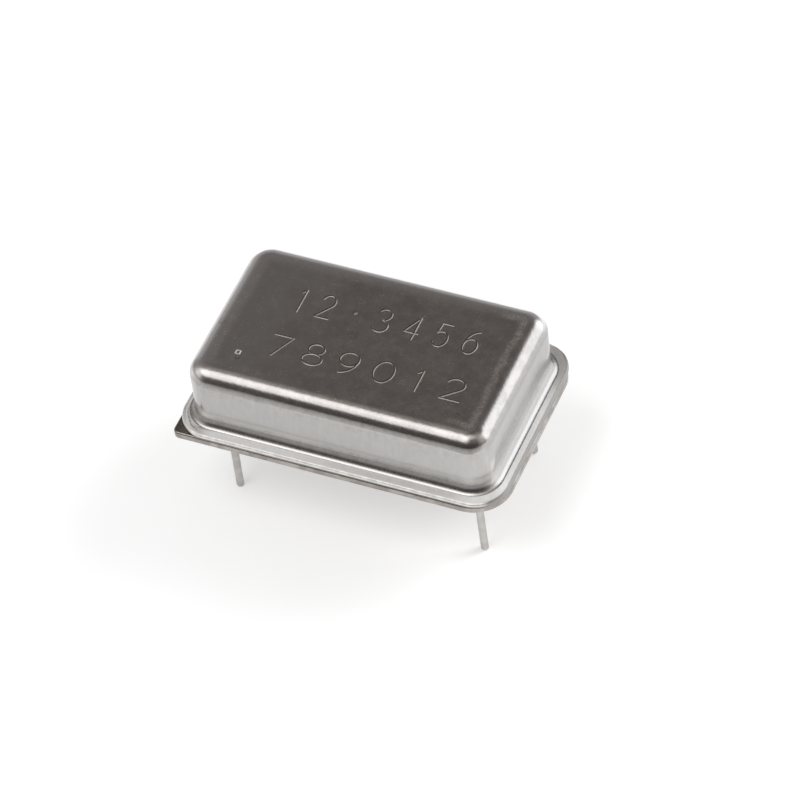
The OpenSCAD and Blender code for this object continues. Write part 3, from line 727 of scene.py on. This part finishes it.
def level_faces(mesh, height, half, radius):
    """True for each face that lies level at height and inside a rounded rectangle in plan. These are shaded flat, so
    that the burrs joined to them don't tilt their shading."""
    count = len(mesh.polygons)
    normal, centre = np.empty(count * 3), np.empty(count * 3)
    mesh.polygons.foreach_get("normal", normal)
    mesh.polygons.foreach_get("center", centre)
    centre = centre.reshape(-1, 3)
    beyond = np.maximum(np.abs(centre[:, :2] - can_centre) - (half - radius), 0)
    inside = np.linalg.norm(beyond, axis=1) < radius
    level = (normal.reshape(-1, 3)[:, 2] > LEVEL_NORMAL) & (np.abs(centre[:, 2] - height) < SAME_HEIGHT)
    return inside & level


# ---------- marks on the can ----------

GROOVE_HALF = 0.028
GROOVE_DEPTH = 0.045
BURR_HALF = 0.033
BURR_HEIGHT = 0.012
BURR_SIDE = np.array([0.021, -0.021])
GROOVE_SIDE = -1.8 * BURR_SIDE
PUNCH_HALF = 0.055
PUNCH_HEIGHT = 0.028
MARK_AT = (-6.655, -3.149)
MARK_SIDE, PIT_SIDE = 0.25, 0.05
END_SIZE, NEXT_SIZE, NEXT_REACH = 0.25, 0.75, 0.6


def along_stroke(name, path, across, heights, reach):
    """A closed section carried along a plan path: across and heights are its corners, and an open path's two ends run
    on by reach and shrink to END_SIZE."""
    path = np.asarray(path, float)
    closed = np.linalg.norm(path[0] - path[-1]) < 1e-6
    if closed:
        path = path[:-1]
        along = np.roll(path, -1, 0) - np.roll(path, 1, 0)
        size = np.ones(len(path))
    else:
        first, last = path[0] - path[1], path[-1] - path[-2]
        first, last = first / np.linalg.norm(first) * reach, last / np.linalg.norm(last) * reach
        start = [path[0] + first, path[0] + first * NEXT_REACH]
        path = np.vstack([*start, path, path[-1] + last * NEXT_REACH, path[-1] + last])
        along = np.gradient(path, axis=0)
        size = np.ones(len(path))
        size[[0, -1]], size[[1, -2]] = END_SIZE, NEXT_SIZE
    along /= np.linalg.norm(along, axis=1)[:, None]
    side = np.column_stack([-along[:, 1], along[:, 0]])
    plan = path[:, None] + side[:, None] * (np.array(across)[None, :, None] * size[:, None, None])
    height = top_z + np.array(heights)[None] * np.ones_like(size)[:, None]
    rings = np.concatenate([plan, height[..., None]], -1)
    if not closed:
        return add_mesh(name, *skin(rings))
    count = rings.shape[0] * rings.shape[1]
    points, faces = skin(np.concatenate([rings, rings[:1]]), ends=False)
    return add_mesh(name, points[:count], [[v % count for v in face] for face in faces])


def section(half, sides, heights):
    """Corners of a section that is the same on both sides: sides are given in half widths, from the outer one in."""
    out = [half * side for side in sides]
    return out + [-side for side in out[::-1]], list(heights) + list(heights[::-1])


def groove(name, path):
    """A scribed cut: steep sides and a rounded bottom."""
    heights = (0.06, 0.0, -0.75 * GROOVE_DEPTH, -GROOVE_DEPTH)
    return along_stroke(name, path, *section(GROOVE_HALF, (1.5, 1.02, 0.7, 0.3), heights), GROOVE_HALF)


def burr(name, path):
    """The low rounded ridge that the tilted scriber pushes up beside its cut."""
    heights = (-0.04, -0.001, 0.9 * BURR_HEIGHT, BURR_HEIGHT)
    return along_stroke(name, path, *section(BURR_HALF, (1.15, 1.0, 0.55, 0.35), heights), BURR_HALF)


def square_path(centre, side, steps=5):
    """Closed square in plan, each side in equal steps."""
    t = np.linspace(0, 1, steps, endpoint=False)[:, None]
    corner = np.array([(-1, -1), (1, -1), (1, 1), (-1, 1), (-1, -1)]) * side / 2 + np.asarray(centre)
    sides = [corner[k] * (1 - t) + corner[k + 1] * t for k in range(4)]
    return np.concatenate(sides + [corner[-1:]])


def raised_square(name, centre, side):
    """The rim that the punch of the pin 1 mark leaves: a square ring with sloping sides."""
    across, heights = section(PUNCH_HALF, (1.0, 0.85, 0.3), (-0.05, -0.001, PUNCH_HEIGHT))
    return along_stroke(name, square_path(centre, side), across, heights, PUNCH_HALF)


def bow(cx, cy, rx, ry, start, end, steps=18):
    """Part of an ellipse from start to end degrees."""
    t = np.radians(np.linspace(start, end, steps + 1))
    return np.column_stack([cx + rx * np.cos(t), cy + ry * np.sin(t)])


def line(*points):
    return np.array(points, float)


# Single-stroke figures in a cell one wide and one high.
FIGURES = {
    "0": [bow(0.5, 0.5, 0.5, 0.5, 0, 360, 36)],
    "1": [line((0.2, 0.84), (0.55, 1.0)), line((0.55, 1.0), (0.55, 0.0))],
    "2": [np.vstack([bow(0.5, 0.72, 0.46, 0.28, 165, -35, 16), line((0.0, 0.0))]), line((0.0, 0.0), (1.0, 0.0))],
    "3": [bow(0.42, 0.76, 0.46, 0.24, 150, -90, 16), bow(0.42, 0.26, 0.54, 0.26, 90, -150, 18)],
    "4": [line((0.74, 0.0), (0.74, 1.0)), line((0.74, 1.0), (0.0, 0.3)), line((0.0, 0.3), (1.0, 0.3))],
    "5": [line((0.92, 1.0), (0.2, 1.0)), line((0.2, 1.0), (0.12, 0.56)), bow(0.46, 0.33, 0.52, 0.33, 130, -150, 20)],
    "6": [bow(0.9, 0.32, 0.88, 0.68, 98, 178, 12), bow(0.5, 0.32, 0.48, 0.32, 0, 360, 30)],
    "7": [line((0.0, 1.0), (1.0, 1.0)), line((1.0, 1.0), (0.32, 0.0))],
    "8": [bow(0.5, 0.76, 0.40, 0.24, 0, 360, 28), bow(0.5, 0.26, 0.5, 0.26, 0, 360, 30)],
    "9": [bow(0.5, 0.68, 0.48, 0.32, 0, 360, 30), bow(0.1, 0.68, 0.88, 0.68, -82, -2, 12)],
    ".": [bow(0.5, 0.5, 0.5, 0.5, 0, 360, 12)],
}
# Two rows of plain counting figures and the point in the first: the figures, where each stands along X, their place
# along Y, their width, the width of a 1, and their height.
ROWS = [
    ("123456", (-4.75, -3.20, 0.30, 2.10, 3.87, 5.66), 1.55, 0.84, 0.60, 1.72),
    (".", (-1.47,), 1.62, 0.13, 0.13, 0.13),
    ("789012", (-4.60, -2.45, -0.38, 1.80, 3.90, 6.02), -2.02, 1.18, 0.80, 1.55),
]
NICKS = [line((-6.63, -3.53), (-6.57, -3.65)), line((-6.50, -3.61), (-6.40, -3.55)), line((6.82, -3.56), (7.00, -3.62))]


def engraving():
    """The strokes of all rows, each scaled to its figure's width and height round its centre."""
    strokes = []
    for figures, places, y, width, width_of_one, height in ROWS:
        for figure, x in zip(figures, places):
            size = (width_of_one if figure == "1" else width, height)
            strokes += [(stroke - 0.5) * size + np.array([x, y]) for stroke in FIGURES[figure]]
    return strokes


def mark_can(can):
    """Engraves the rows with a burr beside each stroke, and punches the small square at pin 1."""
    strokes = engraving()
    combine(can, [burr("burr_%02d" % k, path + BURR_SIDE) for k, path in enumerate(strokes)], "UNION")
    combine(can, [raised_square("mark_rim", MARK_AT, MARK_SIDE)], "UNION")
    combine(can, [groove("groove_%02d" % k, path + GROOVE_SIDE) for k, path in enumerate(strokes)])
    combine(can, [groove("nick_%d" % k, path) for k, path in enumerate(NICKS)])
    combine(can, [groove("mark_pit", square_path(MARK_AT, PIT_SIDE))])


can = make_can()
mark_can(can)
level_inset = EDGE_R + TOP_MARGIN - 0.01
flat = level_faces(can.data, top_z, wall_half - level_inset, CORNER_R - level_inset)
finish_piece(can, finishes["can_nickel"], "cover", flat=flat)

# ---------- header ----------

RIM_TOP = 0.50
RIM_CORNER_R = 2.25
INDEX_CORNER_R = 0.40
LEAST_CORNER_R = 0.06
RIM_ROUND = 0.12
UNDER_ROUND = 0.11
RIM_STRIP, UNDER_STRIP = 0.03, 0.05
RIM_TURNS = [90, 65, 40, 18, 0]
UNDER_TURNS = [0, 20, 42, 66, 90]
PLATFORM_INSET = 0.5
PLATFORM_CORNER_R = 0.95
PLATFORM_BEVEL = 0.05
RIDGE_W = 0.20
HOLES = ("glass_seal_1", "glass_seal_8", "glass_seal_14", "ground_braze")
HOLE_POINTS = 64
CUT_MARGIN = 0.5

header_low, header_high = box_mm("header")
header_half = (header_high[:2] - header_low[:2]) / 2
header_radii = [RIM_CORNER_R, RIM_CORNER_R, INDEX_CORNER_R, RIM_CORNER_R]


def header_ring(inset, z):
    """Outline of the header moved inwards by inset; its corner at pin 1 stays almost square."""
    radii = [max(radius - inset, LEAST_CORNER_R) for radius in header_radii]
    return at_height(rounded_outline(header_half[0] - inset, header_half[1] - inset, radii), z)


def ring_on(centre, half, radius, z):
    """A rounded rectangle at height z."""
    return at_height(rounded_outline(half[0], half[1], [radius] * 4, centre), z)


def make_header():
    """Stamped plate as one skin: platform, weld ridge, rim with rounded edges and flat underside, with four holes."""
    platform, top = wall_half - PLATFORM_INSET, header_high[2]
    ridge = wall_half + np.array([FLANGE_SIDE_L, FLANGE_SIDE_W]) / 2 + FOOT_R / 2 + RIDGE_W / 2
    ridge_r = (CORNER_R + FOOT_R + FLANGE_R + RIDGE_W) / 2
    rings = [ring_on((0, 0), platform - PLATFORM_BEVEL, PLATFORM_CORNER_R - PLATFORM_BEVEL, top)]
    rings += [ring_on((0, 0), platform, PLATFORM_CORNER_R, z) for z in (top - PLATFORM_BEVEL, RIM_TOP)]
    rings += [ring_on(can_centre, ridge - RIDGE_W, ridge_r - RIDGE_W, z) for z in (RIM_TOP, flange_bottom)]
    rings += [ring_on(can_centre, ridge, ridge_r, z) for z in (flange_bottom, RIM_TOP)]
    rings += [header_ring(RIM_ROUND + RIM_STRIP, RIM_TOP)]
    rings += rounded_edge(header_ring, RIM_ROUND, RIM_TOP, -1, RIM_TURNS)
    rings += rounded_edge(header_ring, UNDER_ROUND, 0.0, 1, UNDER_TURNS)
    rings += [header_ring(UNDER_ROUND + UNDER_STRIP, 0.0)]
    plate = add_mesh("header_plate", *skin(rings))
    for name in HOLES:
        low, high = box_mm(name)
        outline = circle((low[:2] + high[:2]) / 2, (high[0] - low[0]) / 2, HOLE_POINTS)
        tube = [at_height(outline, z) for z in (top + CUT_MARGIN, -CUT_MARGIN)]
        combine(plate, [add_mesh("hole_" + name, *skin(tube))])
    return plate


finish_piece(make_header(), finishes["header_steel"], "header")

# ---------- pins ----------

PIN_END_R = 0.10
PLATING = 0.01
BARE_FROM = 0.004
AROUND = 40
END_RINGS, SHANK_RINGS = 7, 14
# How far each pin's end is bent aside, along X and Y.
LEAN = {"pin_1": (-0.02, 0.00), "pin_7": (0.05, 0.03), "pin_8": (0.08, 0.02), "pin_14": (0.02, -0.04)}


def make_pin(node):
    """A wire as a turned profile: rounded tip, plated shank, a small step to the bare wire, and a rounded crown. Below
    the header its middle leans out by the square of the depth."""
    low, high = box_mm(node)
    centre, radius = (low[:2] + high[:2]) / 2, (high[0] - low[0]) / 2
    bare = radius - PLATING
    turn = np.radians(np.linspace(0, 90, END_RINGS))
    less_sine, less_cosine = PIN_END_R * (1 - np.sin(turn)), PIN_END_R * (1 - np.cos(turn))
    tip = np.column_stack([radius - less_sine, low[2] + less_cosine])
    shank = [(radius, z) for z in np.linspace(low[2] + PIN_END_R, 0, SHANK_RINGS)[1:]]
    crown = np.column_stack([bare - less_cosine, high[2] - less_sine])
    out, height = np.vstack([tip, shank, (bare, BARE_FROM), crown]).T[:, :, None]
    middle = centre + np.clip(height / low[2], 0, 1) ** 2 * np.array(LEAN[node])
    plan = middle[:, None] + out[:, None] * circle(0.0, 1.0, AROUND)
    rings = np.concatenate([plan, np.repeat(height[:, None], AROUND, 1)], -1)
    piece = add_mesh(node.replace("pin", "lead"), *skin(rings))
    finish_piece(piece, finishes["pin_metal"], node)


for node in LEAN:
    make_pin(node)

# ---------- floor, studio and light ----------

FLOOR_Z = float(cad_box[0][2])
FLOOR_REACH = 1.2
FLOOR_DARK, FLOOR_PALE = rgb(0.79, 0.79, 0.79), rgb(0.81, 0.81, 0.81)
FLOOR_LIFT, FAR_LIFT = 0.36, 0.95
LIFT_FROM, LIFT_TO = 0.12, 0.80
WORLD_SOFT = 0.45
WHITE = rgb(1, 1, 1)


def seen_by_eye_or_metal(tree):
    """1 for camera, glossy and transmission rays, and 0 for the rays that carry diffuse light."""
    path = tree.nodes.new("ShaderNodeLightPath")
    found = path.outputs["Is Camera Ray"]
    for other in ("Is Glossy Ray", "Is Transmission Ray"):
        most = tree.nodes.new("ShaderNodeMath")
        most.operation = "MAXIMUM"
        tree.links.new(found, most.inputs[0])
        tree.links.new(path.outputs[other], most.inputs[1])
        found = most.outputs[0]
    return found


def make_floor():
    """Plain pale floor. Camera, glossy and transmission rays get what its own light lacks to white, which is more
    further out."""
    mesh = bpy.data.meshes.new("floor")
    corners = [(x * FLOOR_REACH, y * FLOOR_REACH, FLOOR_Z) for x, y in ((-1, -1), (1, -1), (1, 1), (-1, 1))]
    mesh.from_pydata(corners, [], [(0, 1, 2, 3)])
    floor = bpy.data.objects.new("floor", mesh)
    bpy.context.scene.collection.objects.link(floor)
    material, tree, shader = new_material("floor_pale")
    g = Graph(tree)
    g.feed(shader.inputs["Base Color"], g.blend(g.noise(4.0, 2.0), FLOOR_DARK, FLOOR_PALE))
    shader.inputs["Roughness"].default_value = 0.9
    shader.inputs["Specular IOR Level"].default_value = 0.0
    shader.inputs["Emission Color"].default_value = WHITE
    lift = g.step(g.length(g.axis(0), g.axis(1)), LIFT_FROM, LIFT_TO, FLOOR_LIFT, FAR_LIFT)
    g.feed(shader.inputs["Emission Strength"], g.times(seen_by_eye_or_metal(tree), lift))
    material.cycles.emission_sampling = "NONE"
    mesh.materials.append(material)


def make_world():
    """Soft white light from all round; full white where the camera, or metal and glass, see past the floor."""
    world = bpy.data.worlds.new("world")
    bpy.context.scene.world = world
    world.use_nodes = True
    tree = world.node_tree
    background = tree.nodes["Background"]
    strength = tree.nodes.new("ShaderNodeMapRange")
    strength.inputs["To Min"].default_value, strength.inputs["To Max"].default_value = WORLD_SOFT, 1.0
    tree.links.new(seen_by_eye_or_metal(tree), strength.inputs["Value"])
    tree.links.new(strength.outputs["Result"], background.inputs["Strength"])
    background.inputs["Color"].default_value = WHITE


def softbox(name, azimuth, elevation, distance, size, watts):
    """A square lamp that looks at the origin; azimuth 0 is +Y and 90 is +X, and elevation is up from level."""
    data = bpy.data.lights.new(name, "AREA")
    data.shape, data.size, data.energy = "SQUARE", size, watts
    lamp = bpy.data.objects.new(name, data)
    bpy.context.scene.collection.objects.link(lamp)
    az, el = math.radians(azimuth), math.radians(elevation)
    back = np.array([math.sin(az) * math.cos(el), math.cos(az) * math.cos(el), math.sin(el)])
    right = np.array([-math.cos(az), math.sin(az), 0.0])
    lamp.matrix_world = facing_matrix(right, np.cross(back, right), back, back * distance)
    lamp.visible_camera = lamp.visible_glossy = False


# The curtain's radius, and how far the white sheet under the object reaches: at the sides, in front and on the right.
CURTAIN_RADIUS = 0.8
SHEET_SIDE, SHEET_FRONT, SHEET_RIGHT = 0.055, 0.0185, 0.0128
CLOTH_RISE = 0.0004
TURNS, RISES, CLOTH_STEPS = 121, 46, 13
LOWEST = 0.5
# Middle and half width in degrees, and steepness, of the stretch towards the camera and of the one on the right.
FRONT, RIGHT = (-170, 76, 6), (60, 48, 8)
FRONT_GREY, REST_GREY, RIGHT_CARD = 0.78, 0.8, 1.02
FRONT_FADE, REST_FADE = 0.45, 0.8
CURTAIN_DIM = (0.146, 0.133, 0.124)
LEAST_LEVEL = 0.03
# Diffusers and flags that metal sees round the set: azimuth, elevation, half width and half height in degrees, edge
# softness, and colour times level.
PATCHES = [
    (-150, 56.7, 46, 18.3, 0.16, (1.26, 1.255, 1.28)),
    (-116, 26, 20, 20, 0.50, (0.68, 0.66, 0.64)),
    (-68, 74, 40, 10, 0.40, (0.20, 0.19, 0.18)),
    (49, 22.0, 31, 23.0, 0.17, (1.46, 1.50, 1.54)),
    (90, 30, 20, 24, 0.50, (0.50, 0.49, 0.48)),
    (165, 72, 60, 14, 0.40, (0.80, 0.78, 0.76)),
    (-30, 6, 38, 19, 0.42, (0.22, 0.225, 0.235)),
    (165, 8, 62, 22, 0.40, (-0.08, -0.072, -0.065)),
]


def round_from(azimuth, middle):
    """Degrees round the set from middle, between -180 and 180."""
    return (azimuth - middle + 180) % 360 - 180


def near(azimuth, middle, wide, power):
    """1 near middle and 0 well over wide degrees from it: 1 / (1 + (distance / wide) ^ power)."""
    return 1.0 / (1.0 + (np.abs(round_from(azimuth, middle)) / wide) ** power)


def curtain_colour(azimuth, elevation):
    """The dim curtain plus each patch, whose strength falls from 1 inside to 0 outside a rounded box: 1 / (1 + far ^
    (2 / softness)), where far is 1 on the box."""
    level = np.ones(azimuth.shape + (3,)) * CURTAIN_DIM
    for az, el, wide, tall, soft, colour in PATCHES:
        far = ((np.abs(round_from(azimuth, az)) / wide) ** 4 + (np.abs(elevation - el) / tall) ** 4) ** 0.25
        level = level + (1.0 / (1.0 + far ** (2.0 / soft)))[..., None] * np.array(colour)
    return np.clip(level, LEAST_LEVEL, None)


def glow_material(name, attribute):
    """Emission in the colour of a point attribute."""
    material = bpy.data.materials.new(name)
    material.use_nodes = True
    tree = material.node_tree
    tree.nodes.clear()
    colour = tree.nodes.new("ShaderNodeAttribute")
    colour.attribute_name = attribute
    glow = tree.nodes.new("ShaderNodeEmission")
    out = tree.nodes.new("ShaderNodeOutputMaterial")
    tree.links.new(colour.outputs["Color"], glow.inputs["Color"])
    tree.links.new(glow.outputs[0], out.inputs["Surface"])
    material.cycles.emission_sampling = "NONE"
    return material


def studio_curtain():
    """A curtain round the set, only for gloss: part of a sphere over azimuth and elevation, with soft bright and dark
    parts. Its foot runs in along the floor as a cloth, up to the edge of the white sheet that the object stands on. To
    the curtain's colour at the hem the cloth adds a grey: FRONT_GREY * (SHEET_FRONT / radius) ^ FRONT_FADE towards the
    camera, and REST_GREY * (edge / radius) ^ REST_FADE elsewhere. On the right a pale card lies over it."""
    az, el = np.linspace(-180, 180, TURNS), np.linspace(LOWEST, 90, RISES)
    front, right = near(az, *FRONT), near(az, *RIGHT)
    edge = SHEET_SIDE + (SHEET_FRONT - SHEET_SIDE) * front + (SHEET_RIGHT - SHEET_SIDE) * right
    skirt = edge[:, None] * (CURTAIN_RADIUS / edge[:, None]) ** np.linspace(0, 1, CLOTH_STEPS)[None, :-1]
    grey = FRONT_GREY * front[:, None] * (SHEET_FRONT / skirt) ** FRONT_FADE
    grey = grey + REST_GREY * (1.0 - np.maximum(front, right))[:, None] * (edge[:, None] / skirt) ** REST_FADE
    hem = curtain_colour(az, 0.0 * az)[:, None, :]
    cloth = hem + grey[..., None] + (RIGHT_CARD - hem) * right[:, None, None]
    a, e = np.meshgrid(az, el, indexing="ij")
    colour = np.hstack([cloth, curtain_colour(a, e)])
    out = np.hstack([skirt, CURTAIN_RADIUS * np.cos(np.radians(e))])
    high = np.hstack([np.full(skirt.shape, FLOOR_Z + CLOTH_RISE), CURTAIN_RADIUS * np.sin(np.radians(e))])
    turn = np.radians(az)[:, None]
    points = np.stack([np.sin(turn) * out, np.cos(turn) * out, high], -1)
    mesh = bpy.data.meshes.new("studio_curtain")
    mesh.from_pydata(points.reshape(-1, 3).tolist(), [], grid_quads(*high.shape))
    shine = np.dstack([colour, np.ones(high.shape)]).astype(np.float32)
    mesh.attributes.new("shine", "FLOAT_COLOR", "POINT").data.foreach_set("color", shine.reshape(-1))
    mesh.materials.append(glow_material("curtain", "shine"))
    curtain = bpy.data.objects.new("studio_curtain", mesh)
    bpy.context.scene.collection.objects.link(curtain)
    curtain.visible_camera = curtain.visible_diffuse = curtain.visible_shadow = False


make_floor()
make_world()
studio_curtain()
softbox("key", azimuth=-150, elevation=62, distance=0.50, size=0.26, watts=0.90)
softbox("window", azimuth=46, elevation=38, distance=0.50, size=0.26, watts=1.14)
